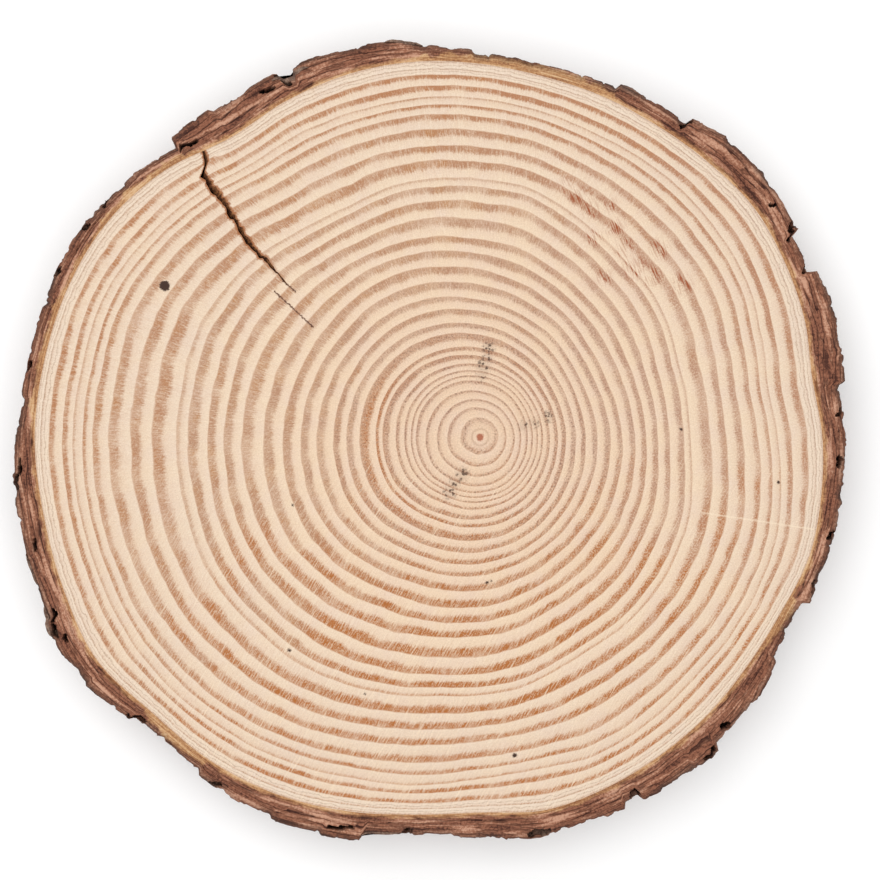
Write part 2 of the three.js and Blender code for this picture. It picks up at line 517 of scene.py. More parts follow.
def make_wood_mesh():
    """Closed body of the wood from its lattice: both sawn faces, the rim, and the crack's two walls."""
    points, ring, radius, apart = wood_lattice()
    number = np.arange(ring.size).reshape(ring.shape)
    number[:, 0, :] = number[:, :1, 0]
    open_rows = radius[0, :, 0] > CRACK_TIP
    tip = int(np.argmax(open_rows))
    number[:, :tip + 1, -1] = number[:, :tip + 1, 0]
    top, bottom = number[0], number[-1]
    pith_top = np.stack([np.full(top.shape[1] - 1, top[0, 0]), top[1, :-1], top[1, 1:]], axis=1)
    pith_bottom = np.stack([np.full(top.shape[1] - 1, bottom[0, 0]), bottom[1, 1:], bottom[1, :-1]], axis=1)
    faces = [
        pith_top,
        pith_bottom,
        quads(top[1:]),
        quads(bottom[1:].T),
        quads(number[:, -1, :]),
        quads(number[:, tip:, 0]),
        quads(number[:, tip:, -1].T),
    ]
    torn = np.concatenate([np.full(len(group), index >= 5, int) for index, group in enumerate(faces)])
    return new_piece(
        "sawn_wood",
        points.reshape(-1, 3),
        faces,
        {"ring": ring.ravel(), "crack": apart.ravel()},
        torn,
    )


# Small marks on the sawn face, as x and y about the pith and a radius.
DARK_KNOTS = [
    (-95.9, 46.0, 1.6), (90.7, -13.7, 0.5), (10.5, -96.7, 0.7), (61.1, 2.4, 0.45), (-58.1, -64.7, 0.5),
]
FINE_SPECKS = [(2.1, -44.2, 0.5), (3.4, -43.6, 0.35), (-57.0, -20.6, 0.35), (-35, -78, 0.3), (58, -90, 0.3)]
BLUE_STAIN = [
    (2.5, 27, 1.8), (2.2, 24, 1.6), (0.9, 21.5, 2.2), (0.5, 18.8, 1.6), (20.5, 6.2, 1.6), (13.4, 3.4, 1.6),
    (16.5, 4.4, 1.4), (-5.5, -11.3, 2.0), (-7.8, -14, 1.6), (-9.3, -16.8, 2.0),
]
RESIN_STREAKS = [
    (29.5, 73.5, 2.6), (33.5, 69.5, 3.0), (39.5, 70.5, 2.2), (34.5, 60.5, 2.4), (44.5, 57.5, 3.4),
    (41, 63.5, 3.0), (47, 51.5, 3.4), (52, 49, 3.0), (54.5, 57, 3.0), (61.5, 46.5, 3.2), (37.5, 48.5, 2.6),
    (26, 76.5, 2.0),
]

# Straight marks, as their two ends about the pith.
PALE_RAY = ((67.3, -22.9), (101.4, -28.0))
# Hair-thin cracks, drawn as dark lines: painted shade inside cracks too thin to cut.
HAIRLINES = [((-62.6, 44.4), (-56.6, 38.9)), ((-56.7, 39.0), (-50.6, 33.4)), ((-60.0, 47.5), (-56.0, 44.2))]

# Noises on the sawn face: spots per millimetre, detail, roughness, and a fourth coordinate if not 0.
WOOD_NOISES = {
    "speckle": (1.9, 3, 0.75, 0), "drift": (0.11, 4, 0.52, 0), "patches": (0.055, 3, 0.5, 0),
    "strong": (0.11, 3, 0.5, 0), "resinous": (0.045, 3, 0.5, 3), "tint": (0.17, 4, 0.65, 9),
    "mottle": (0.12, 3, 0.5, 0), "ripple": (0.3, 3, 0.5, 0), "grain": (1.3, 4, 0.7, 0),
    "freckles": (1.7, 2, 0.5, 7), "pores": (2.4, 2, 0.8, 0),
}

# The ring whose latewood is orange to the lower left, where the white youngest wood starts, and the radius of
# the line round the pith in millimetres.
ARC_RING = 9.9
YOUNGEST_RINGS = (29.9, 30.3)
FIRST_RING_RADIUS = 2.5


def sawn_pine(settings):
    """Pine, sawn across the grain and lightly sanded: matt, with dense brown latewood against pale earlywood.

    The saw's strokes cross the dense wood as fine lighter and darker lines. The pale wood stays nearly plain.
    """
    material, add, shader = new_material("sawn_pine")
    _, flat, outward = about_pith(add)
    radius = add("VectorMath LENGTH", flat)
    heading = add("SeparateXYZ", outward)
    x, y = heading.outputs["X"], heading.outputs["Y"]
    noise = {}
    for name, (scale, detail, roughness, fourth) in WOOD_NOISES.items():
        place = (flat, fourth) if fourth else (flat,)
        dimensions = "4D" if fourth else "3D"
        noise[name] = add("TexNoise", *place, scale, detail, roughness, noise_dimensions=dimensions)

    # Each ramp's source, where it starts and ends, and its values there, which are 0 and 1 unless given.
    ramps = {
        "lower": (y, 0.1, -0.5),
        "right": (x, -0.1, 0.75),
        "left": (x, 0.4, -0.8, 0.94, 1.02),
        "inner": (radius, 45, 15, 0.4, 0.75),
        "denser": (radius, 75, 95, 0, 0.35),
        "soaked": (radius, 15, 60, 0.5, 1.15),
        "richer": (radius, 52, 65, 0, 0.12),
        "ending": (radius, 92, 86),
        "central": (radius, 60, 20, 0, 0.4),
        "outer": (radius, 20, 70),
        "whiter": (radius, 55, 95, 0, 0.75),
        "freckled": (radius, 70, 20),
        "coarse": (radius, 50, 20, 0.6, 1.0),
        "reach": (radius, 76, 86),
        "broad": (noise["patches"], 0.3, 0.7, 0.85, 1.1),
        "strong": (noise["strong"], 0.34, 0.62, 0.62, 1.12),
        "tint": (noise["tint"], 0.48, 0.66, 0, 0.5),
        "pink": (noise["mottle"], 0.4, 0.7, 0, 0.45),
        "freckles": (noise["freckles"], 0.53, 0.63, 0, 0.6),
        "pores": (noise["pores"], 0.25, 0.75, 0.78, 1.22),
    }
    ramp = {name: add("MapRange", *values) for name, values in ramps.items()}

    # Strokes along the radius, slanting ones that the saw left on the lower part, and a plain speckle instead
    # of them on the right and in the middle.
    stroke = settings.stroke_width / MM
    spread = add("VectorMath SCALE", outward, 100 / stroke)
    ray_place = add("VectorMath ADD", spread, add("CombineXYZ", 0, 0, add("Math MULTIPLY", radius, 0.5)))
    turned = add("VectorRotate", flat, named={"Angle": math.radians(-60)}, rotation_type="Z_AXIS")
    slant_place = add("VectorMath MULTIPLY", turned, (0.30, 1 / stroke, 0))
    rays, slants = (add("TexNoise", vector, 1.0, 3.0, 0.65) for vector in (ray_place, slant_place))
    strokes = add("Mix", ramp["lower"], rays, slants)
    smooth = add("Math MAXIMUM", add("Math MULTIPLY", ramp["right"], 0.72), ramp["inner"])
    marks = add("Mix", smooth, strokes, noise["speckle"])
    faintest = add("MapRange", ramp["lower"], 0, 1, 0.39, 0.43)
    strongest = add("MapRange", ramp["lower"], 0, 1, 0.61, 0.58)
    contrast = add("MapRange", marks, faintest, strongest, 0.42, 1.30)

    # The ring number strays a little, and its whole part picks the ring's latewood.
    ring = add("Attribute", attribute_name="ring").outputs["Fac"]
    stray = add("Math ADD", noise["drift"], -0.5)
    ring = add("Math MULTIPLY_ADD", stray, settings.ring_wobble * 4, ring)
    lookup = add(
        "ValToRGB", add("Math DIVIDE", ring, RING_COUNT),
        stops=[(index / RING_COUNT, entry) for index, entry in enumerate(LATEWOOD)])
    lookup.color_ramp.interpolation = "CONSTANT"
    late = add("SeparateColor", lookup.outputs["Color"])
    within = add("Math FRACT", ring)

    # Latewood takes more of a ring on the left, where the rings are widest, and less on the lower part.
    share = late.outputs["Red"]
    for factor in (ramp["left"], ramp["broad"], add("MapRange", ramp["lower"], 0, 1, 1.0, 0.93)):
        share = add("Math MULTIPLY", share, factor)
    start = add("Math SUBTRACT", 1.0, share)
    start_low, start_high = add("Math SUBTRACT", start, 0.15), add("Math ADD", start, 0.14)
    ragged = add("Math ADD", within, add("Math MULTIPLY_ADD", marks, 0.36, -0.18))
    band = add("MapRange", ragged, start_low, start_high, interpolation_type="SMOOTHSTEP")
    edge = add("Math MULTIPLY", add("MapRange", ragged, 1.03, 0.93), add("MapRange", within, 1.0, 0.96))
    band = add("Math MULTIPLY", band, edge)

    # It is paler on the right and denser at the upper right near the bark.
    upper = add("MapRange", add("VectorMath DOT_PRODUCT", outward, (0.45, 0.89, 0)), 0.55, 0.9)
    denser = add("Math ADD", add("Math MULTIPLY", upper, ramp["denser"]), 1.0)
    paler = add("MapRange", ramp["right"], 0, 1, 1.0, 0.93)
    strength = late.outputs["Green"]
    for factor in (ramp["strong"], contrast, paler, denser):
        strength = add("Math MULTIPLY", strength, factor)
    dense = add("Math MULTIPLY", band, strength, use_clamp=True)

    # Resin makes it more orange on the lower side, in some rings all round, and in one to the lower left.
    sector = add("VectorMath DOT_PRODUCT", outward, (0.08, -0.62, 0))
    sector = add("MapRange", add("Math ADD", sector, noise["resinous"]), 0.62, 0.96)
    sector = add("Math MULTIPLY", sector, ramp["soaked"])
    richer = add("Math MULTIPLY", ramp["richer"], ramp["ending"])
    richer = add("Math MULTIPLY_ADD", richer, sector, 1.0)
    dense = add("Math MULTIPLY", dense, richer, use_clamp=True)
    arc = add("MapRange", add("VectorMath DOT_PRODUCT", outward, (-0.80, -0.60, 0)), -0.1, 0.6)
    off_ring = add("Math ABSOLUTE", add("Math SUBTRACT", ring, ARC_RING))
    arc = add("Math MULTIPLY", arc, add("MapRange", off_ring, 1.3, 0.7, 0, 0.9))
    resin = add("Math MAXIMUM", add("Math MAXIMUM", sector, late.outputs["Blue"]), arc)
    pinker = add("Math MAXIMUM", ramp["central"], add("Math MULTIPLY", ramp["right"], 0.45))
    pinker = add("Math MULTIPLY", pinker, add("Math SUBTRACT", 1.0, resin, use_clamp=True))
    late_colour = settings.latewood[:]
    for mask, paint in (
            (ramp["tint"], linear("#B5824E")), (resin, settings.resinous[:]), (pinker, linear("#AF8C7D"))):
        late_colour = add("Mix", mask, late_colour, paint, data_type="RGBA")

    # Pale wood is pinker near the pith and greyer in patches near the bark, with a mottle and faint strokes.
    whiter = add("Math MULTIPLY", ramp["whiter"], noise["patches"])
    faint = add("MapRange", marks, 0.38, 0.66, 0, 0.38)
    faint = add("Math ADD", faint, add("MapRange", within, 0.10, 0.80, 0, 0.24))
    early_colour = settings.heartwood[:]
    for mask, paint in (
            (ramp["outer"], settings.earlywood[:]), (ramp["pink"], linear("#DFC8BA")),
            (whiter, linear("#DDCDBC")), (faint, linear("#C39B7C"))):
        early_colour = add("Mix", mask, early_colour, paint, data_type="RGBA")

    # The last rings are whiter and hold several hair-thin lines.
    hairs = add("Math FRACT", add("Math MULTIPLY", add("Math ADD", ring, noise["ripple"]), 2.0))
    hairs = add("MapRange", hairs, 0.66, 0.92, 0, 0.6)
    youngest = add("MapRange", ring, *YOUNGEST_RINGS)
    for factor in (youngest, contrast):
        hairs = add("Math MULTIPLY", hairs, factor)
    whitened = add("Math MULTIPLY", youngest, 0.2)

    # Pale scratches, most of them on the lower part.
    scratches = add("TexNoise", add("VectorMath MULTIPLY", turned, (0.10, 2.2, 0)), 1.0, 1.0)
    scratches = add("MapRange", scratches, 0.62, 0.72, 0, 0.6)
    scratches = add("Math MULTIPLY", scratches, add("Math MULTIPLY_ADD", ramp["lower"], 0.75, 0.15))

    # Resin streaks in a slanting patch, as short dashes up the face, stronger in the latewood.
    upright = add("VectorRotate", flat, named={"Angle": math.radians(-112)}, rotation_type="Z_AXIS")
    dashes = add("TexNoise", add("VectorMath MULTIPLY", upright, (0.24, 2.0, 0)), 1.0, 2.0)
    streaks = masks_of_spots(add, flat, RESIN_STREAKS, 2.4)
    for factor in (add("MapRange", dashes, 0.49, 0.57), add("MapRange", band, 0, 1, 0.34, 1.0)):
        streaks = add("Math MULTIPLY", streaks, factor)

    # Blue stain as dark dots of random size, knots, the pith and the line round it, freckles, and a pale ray.
    shake = add("VectorMath SUBTRACT", noise["grain"].outputs["Color"], (0.5, 0.5, 0.5))
    broken = add("VectorMath ADD", flat, add("VectorMath MULTIPLY", shake, (1.6, 1.6, 0)))
    dots = add("TexVoronoi", broken, 1.0)
    dot_size = add("Math MULTIPLY", add("SeparateColor", dots.outputs["Color"]), 0.55)
    dots = add("MapRange", add("Math SUBTRACT", dot_size, dots), -0.14, 0.06, 0, 0.88)
    stain = masks_of_spots(add, flat, BLUE_STAIN, 1.6)
    shade = add("Math MULTIPLY", stain, 0.16)
    stain = add("Math MAXIMUM", add("Math MULTIPLY", stain, dots), shade)
    knots = masks_of_spots(add, broken, DARK_KNOTS + FINE_SPECKS, 0.4)
    pith = masks_of_spots(add, broken, [(0, 0, 1.1)], 0.6)
    freckles = add("Math MULTIPLY", ramp["freckles"], add("Math MULTIPLY", ramp["freckled"], band))
    first_ring = add("Math ABSOLUTE", add("Math SUBTRACT", radius, FIRST_RING_RADIUS))
    first_ring = add("MapRange", first_ring, 0.5, 0.1, 0, 0.35)
    ray = add("Math MULTIPLY", line_mask(add, flat, *PALE_RAY, 0.25), 0.45)

    # Torn fibres beside the crack hold dirt and resin.
    crack = add("Attribute", attribute_name="crack").outputs["Fac"]
    torn = add("MapRange", add("Math MULTIPLY_ADD", noise["grain"], -2.2, crack), -0.3, -0.75, 0, 0.9)
    torn = add("Math MULTIPLY", torn, ramp["reach"])

    colour = early_colour
    for mask, paint in (
            (dense, late_colour), (whitened, linear("#E6DCCF")), (hairs, linear("#A88A70")),
            (scratches, linear("#E9D4B9")), (streaks, linear("#974D27")), (stain, linear("#4A3427")),
            (knots, linear("#3F2A20")), (pith, linear("#A9694F")), (freckles, linear("#6A4C3C")),
            (first_ring, linear("#A17C62"))):
        colour = add("Mix", mask, colour, paint, data_type="RGBA")
    colour = add("Mix", ramp["coarse"], colour, ramp["pores"], data_type="RGBA", blend_type="MULTIPLY")
    # The hair-thin cracks are dark lines, painted shade inside them.
    hairlines = [(line_mask(add, broken, *ends, 0.22), linear("#5E3B2A")) for ends in HAIRLINES]
    for mask, paint in (*hairlines, (ray, linear("#EEDBC0")), (torn, linear("#9A5D33"))):
        colour = add("Mix", mask, colour, paint, data_type="RGBA")
    relief = add("Math MULTIPLY_ADD", dense, 0.5, add("Math MULTIPLY", marks, 0.6))
    fill(shader, named={
        "Base Color": colour,
        "Roughness": add("MapRange", dense, 0, 1, 0.78, 0.62),
        "Normal": add("Bump", named={"Height": relief, "Strength": 0.35, "Distance": 0.00006}),
        "Specular IOR Level": 0.3,
    })
    return material


def torn_pine():
    """Pine split open as it dried: rough and brown, darkest brown where it is painted shade inside the crack,
    with fibres running down the trunk.
    """
    material, add, shader = new_material("torn_pine")
    fibres = add("VectorMath MULTIPLY", add("TexCoord").outputs["Object"], (1400, 1400, 90))
    grain = add("TexNoise", fibres, 1.0, 3.0)
    fill(shader, named={
        # The darkest brown is painted shade inside the crack.
        "Base Color": add("ValToRGB", grain, stops=[
            (0.34, linear("#4A2A1B")), (0.5, linear("#8A5430")), (0.66, linear("#B98048"))]),
        "Roughness": 0.9,
        "Normal": add("Bump", named={"Height": grain, "Strength": 0.8, "Distance": 0.0003}),
    })
    return material


# The bark's grid: points round the trunk, and rows on the sawn faces, the outside and the inner wall.
BARK_COLUMNS = 1440
CUT_ROWS = 24
SIDE_ROWS = 33
UNDER_ROWS = 8
WALL_ROWS = 2
TRUNK_RADIUS = 117.0
TRUNK_ROUND = 2 * math.pi * TRUNK_RADIUS

# The bark's mean and least thickness, how far it stands out from its plates' thickness before it is carved
# and at most, how many layers may be gone, and how deep a gap is.
MEAN_BARK = 7.0
THINNEST_BARK = 2.2
OUTWARD = 0.65
MOST_OUTWARD = 1.0
MOST_LAYERS_GONE = 3
GAP_DEPTH = 5.0

# Crumbs of cut cork: their width, and how many there are round the trunk. The same for its long wavy layers.
CRUMB = 0.9
CRUMB_COUNT = round(TRUNK_ROUND / CRUMB)
WAVES_PER_MM = 0.12
WAVE_COUNT = round(TRUNK_ROUND * WAVES_PER_MM)

# A bark point's distance from the wood, the same as a layer runs, 1 if it is on a sawn face, how far it lies
# in a gap, a fissure or under a layer's edge, which is painted as shade, the share of layers gone, and its
# distance from the rim.
BARK_ATTRIBUTES = ("depth", "layer", "cut", "open", "gone", "rim")

# Where plates have come away from the layers beneath: angle, depth as a share of the bark, length round the
# trunk and width of the gap.
GAPS = [
    (4.0, 0.85, 1.5, 1.4), (38.5, 0.6, 0.8, 0.9), (33.6, 0.8, 2.2, 1.2), (27.3, 0.9, 1.0, 0.9),
    (56.7, 0.8, 1.2, 1.3), (118.8, 0.85, 1.6, 1.5), (121.5, 0.6, 2.2, 0.7), (135.0, 0.45, 2.6, 0.9),
    (148.0, 0.9, 1.2, 0.8), (152.1, 0.85, 1.2, 0.9), (158.6, 0.85, 1.2, 0.9), (171.1, 0.85, 1.4, 1.2),
    (184.5, 0.8, 4.0, 0.7), (193.6, 0.6, 1.4, 0.7), (202.6, 0.7, 1.5, 0.7), (204.4, 0.82, 1.8, 0.8),
    (205.8, 0.6, 1.0, 0.6), (219.2, 0.85, 2.2, 1.2), (232.6, 0.85, 1.4, 1.0), (250.3, 0.62, 3.4, 0.9),
    (259.4, 0.9, 1.6, 0.9), (278.5, 0.82, 3.4, 1.6),
    (293.4, 0.85, 1.4, 1.3), (310.3, 0.8, 1.6, 1.5), (306.0, 0.9, 2.4, 0.9), (335.6, 0.9, 2.6, 0.9),
    (344.3, 0.85, 1.6, 1.0), (356.1, 0.75, 1.8, 1.4),
]


def bumps(arc, height, count, tall, seed):
    """Noise from -0.5 to 0.5: count bumps round the trunk, each so many millimetres tall."""
    return value_noise(arc * count / TRUNK_ROUND, height / tall, count, seed) - 0.5


def bark_thickness(degrees, height, settings):
    """Thickness of the bark at an angle and a height, how dark that point is, and the share of layers gone.

    It is the plates' thickness, which wanders sideways with the height, less the fissures on the borders of
    tall cells, less whole layers of cork that have come off in patches, with fine roughness on top. The
    darkness
    is painted shade: dark in a fissure, and a painted shadow just under the edge of a layer.
    """
    arc = np.radians(np.mod(degrees, 360)) * TRUNK_RADIUS
    wide, tall = settings.plate_width / MM, settings.plate_height / MM
    count = round(TRUNK_ROUND / wide)
    across = arc * count / TRUNK_ROUND
    below = (THICKNESS - height) / THICKNESS
    wander = value_noise(arc * 24 / TRUNK_ROUND, below * 2.2 + 3, 24, seed=11) - 0.5
    plates = plate_thickness(degrees + 3.5 * wander * ease(below * 2))
    bend = value_noise(across * 2, height / 8 + 7, 2 * count, seed=12) - 0.5
    bend += 0.4 * (value_noise(across * 6, height / 2.5 + 3, 6 * count, seed=18) - 0.5)
    border, number = cells(across + 0.4 * bend, height / tall + 5, count, seed=13)
    fissure = 1 - ease(border / 0.15)
    patches = value_noise(arc * 70 / TRUNK_ROUND, height / 14 + 2, 70, seed=14)
    patches += 0.4 * bumps(arc, height, 200, 5, seed=15)
    patches += 0.12 * bumps(arc, height, 700, 1.6, seed=19)
    level = np.clip(patches * 5.0 - 1.2 + 0.8 * (1 - border), 0, MOST_LAYERS_GONE + 0.99)
    gone = np.floor(level)
    # A painted shadow just under the edge of a layer that has come off, where the higher layer shades the
    # lower.
    painted_edge_shadow = (1 - ease((level - gone) / 0.16)) * (gone > 0)
    rough = 0.25 * bumps(arc, height, 300, 4.5, seed=16)
    rough += 0.25 * bumps(arc, height, 1000, 1.3, seed=17)
    inside = ease(np.minimum(below, 1 - below) * THICKNESS / 3.5)
    carved = settings.fissure_depth / MM * fissure * (0.2 + 0.8 * inside)
    carved += settings.layer / MM * gone * (0.45 + 0.55 * inside)
    carved += 1.2 * (number - 0.5) * inside
    thickness = np.clip(plates + OUTWARD - carved + rough, THINNEST_BARK, plates + MOST_OUTWARD)
    # How dark a point is: painted shade in a fissure and the painted shadow under a layer's edge.
    return thickness, np.clip(fissure + 0.6 * painted_edge_shadow, 0, 1), gone / MOST_LAYERS_GONE


def gap_depth(degrees, share):
    """How deep the sawn bark is open, where plates have come away: one long soft-ended slot to each gap."""
    total = np.zeros(np.broadcast(degrees, share).shape)
    thickness = plate_thickness(degrees)
    arc = np.radians(degrees) * TRUNK_RADIUS
    crumbs = value_noise(arc / CRUMB, share * thickness / 0.7, CRUMB_COUNT, seed=23) - 0.5
    for place, depth_share, length, width in GAPS:
        along = (np.mod(degrees - place + 180, 360) - 180) / (length / 2)
        slant = 0.8 * math.cos(place * 7) * along + 0.2 * np.sin(along * 4 + place)
        across = (share - depth_share) * thickness + slant
        reach = np.clip(1 - along ** 2, 0, 1) ** 0.6
        slot = 1 - ease((np.abs(across) - width * (0.45 + 0.9 * crumbs) * reach) / 0.25)
        total = np.maximum(total, slot * (np.abs(along) < 1))
    return total


def cut_rows(degrees, shares, height, settings):
    """Rows across a sawn face at shares of the way from the wood to the rim.

    Returns the angle, the share, the distance from the wood, the same as a layer runs, and that from the rim.
    """
    angle, share = np.meshgrid(degrees, shares)
    rim = bark_thickness(angle, np.full(angle.shape, height), settings)[0]
    depth = share * rim
    layer = depth + (MEAN_BARK - plate_thickness(angle)) * ease(share)
    return angle, share, depth, layer, rim - depth


def make_bark_mesh(settings):
    """Closed ring of bark: across the top from the wood to the rim, down the outside, back and up the inside.

    A layer of the sawn bark runs along the wood beside the wood and along the plate's outside beside the rim.
    """
    degrees = np.arange(BARK_COLUMNS) * 360 / BARK_COLUMNS
    inner = wood_radius(degrees)
    even = np.linspace(0, 1, CUT_ROWS)
    shares = ease(even) * 0.35 + even * 0.65
    angle, share, depth, layer, from_rim = cut_rows(degrees, shares, THICKNESS, settings)
    gaps = gap_depth(angle, share) * (share > 0)
    arc = np.radians(angle) * TRUNK_RADIUS
    lamina = value_noise(arc * WAVES_PER_MM, layer / (settings.layer / MM), WAVE_COUNT, seed=21)
    dips = 0.45 * (1 - ease(lamina / 0.3)) * ease((depth - 2) / 0.6)
    crumbly = 0.25 * value_noise(arc / CRUMB, depth / 0.5, CRUMB_COUNT, seed=22) * ease((depth - 1.5) / 0.8)
    edge = 0.5 * ease((share - 0.93) / 0.07)
    top = THICKNESS - dips - crumbly - edge - GAP_DEPTH * gaps
    nothing = np.zeros_like(depth)
    # On the sawn faces the gaps also darken the colour: painted shade inside them.
    rows = [(inner + depth, top, depth, layer, nothing + 1, gaps, nothing, from_rim)]
    angle, height = np.meshgrid(degrees, THICKNESS * (1 - np.arange(1, SIDE_ROWS) / SIDE_ROWS))
    side, dark, gone = bark_thickness(angle, height, settings)
    rows.append((inner + side, height, side, side, 0 * side, dark, gone, 0 * side))
    _, _, depth, layer, from_rim = cut_rows(degrees, np.linspace(1, 0, UNDER_ROWS), 0.0, settings)
    nothing = np.zeros_like(depth)
    rows.append((inner + depth, nothing, depth, layer, nothing + 1, nothing, nothing, from_rim))
    angle, height = np.meshgrid(degrees, THICKNESS * np.arange(1, WALL_ROWS) / WALL_ROWS)
    nothing = np.zeros_like(height)
    rows.append((inner + nothing, height, nothing, nothing, nothing + 1, nothing, nothing, nothing + 5))
    radius, height, *values = (np.concatenate(parts) for parts in zip(*rows))
    points = trunk_points(radius, np.broadcast_to(degrees, radius.shape), height)
    number = np.arange(radius.size).reshape(radius.shape)
    number = np.vstack([number, number[:1]])
    number = np.hstack([number, number[:, :1]])
    attributes = {name: value.ravel() for name, value in zip(BARK_ATTRIBUTES, values)}
    return new_piece("bark", points.reshape(-1, 3), [quads(number)], attributes)


def scale_table(count):
    """Where the loose scales sit, each near the start of a plate picked at random, and their sizes."""
    rng = np.random.default_rng(31)
    places = [plate[0] for plate in BARK_PLATES]
    picked = rng.permutation(len(places))[:count]
    for index in sorted(picked):
        low = rng.uniform(-8, 8)
        yield {
            "angle": places[index] + rng.uniform(-1, 4),
            "width": rng.uniform(7, 14),
            "thickness": rng.uniform(0.7, 1.3),
            "lift": rng.uniform(0.3, 1.4),
            "low": max(low, 0.0),
            "high": THICKNESS if rng.random() < 0.45 else rng.uniform(14, 23),
            "turn": rng.choice([-1, 1]),
        }


LENS_POINTS = 14
STATIONS = 18


def scale_points(scale, settings):
    """One scale: a thin lens-shaped section in plan, carried up the trunk, and narrow at a free end."""
    around = np.concatenate([np.linspace(-1, 1, LENS_POINTS), np.linspace(1, -1, LENS_POINTS)[1:-1]])
    outside = np.concatenate([np.ones(LENS_POINTS), np.zeros(LENS_POINTS - 2)])
    along = np.linspace(0, 1, STATIONS)
    height = scale["low"] + (scale["high"] - scale["low"]) * along
    free_low, free_high = scale["low"] > 0.1, scale["high"] < THICKNESS - 0.1
    taper = np.minimum(ease(along / 0.3) if free_low else 1.0, ease((1 - along) / 0.3) if free_high else 1.0)
    taper = np.maximum(taper * np.ones(STATIONS), 0.04)
    ragged = 1 + 0.35 * (value_noise(along * 6, np.full(STATIONS, scale["angle"]), 64, seed=41) - 0.5)
    half = np.degrees(scale["width"] / 2 / TRUNK_RADIUS) * np.sqrt(taper) * ragged
    lean = 1.2 * (value_noise(along * 2, np.full(STATIONS, scale["angle"] + 9), 64, seed=42) - 0.5)
    section, station = np.meshgrid(around, np.arange(STATIONS))
    front, _ = np.meshgrid(outside, np.arange(STATIONS))
    degrees = scale["angle"] + lean[station] + section * half[station]
    seat = bark_thickness(np.full(STATIONS, scale["angle"]), height, settings)[0]
    edge = bark_thickness(degrees, height[station], settings)[0]
    smooth_seat = np.convolve(np.pad(seat, 4, mode="edge"), np.ones(9) / 9, mode="valid")
    base = 0.5 * smooth_seat[station] + 0.5 * edge
    free = ease((section * scale["turn"] + 0.2) / 1.2)
    body = scale["thickness"] * (1 - section ** 4) * taper[station]
    radius = wood_radius(degrees) + base - 0.5 + scale["lift"] * free + front * body
    return trunk_points(radius, degrees, height[station]), radius - wood_radius(degrees)


def make_scales_mesh(settings):
    """All loose scales in one mesh, each closed at both ends by a fan."""
    points, faces, depths = [], [], []
    start = 0
    for scale in scale_table(settings.scale_count):
        place, depth = scale_points(scale, settings)
        count = place.shape[1]
        number = start + np.arange(place.shape[0] * count).reshape(-1, count)
        loop = np.hstack([number, number[:, :1]])
        centres = place[[0, -1]].mean(axis=1)
        low, high = start + number.size, start + number.size + 1
        faces.append(quads(loop))
        faces.append(np.stack([np.full(count, low), loop[0, :-1], loop[0, 1:]], axis=1))
        faces.append(np.stack([np.full(count, high), loop[-1, 1:], loop[-1, :-1]], axis=1))
        points += [place.reshape(-1, 3), centres]
        depths += [depth.ravel(), depth[[0, -1]].mean(axis=1)]
        start += number.size + 2
    return new_piece(
        "bark_scales",
        np.concatenate(points),
        faces,
        {"depth": np.concatenate(depths), "layer": np.concatenate(depths)},
    )


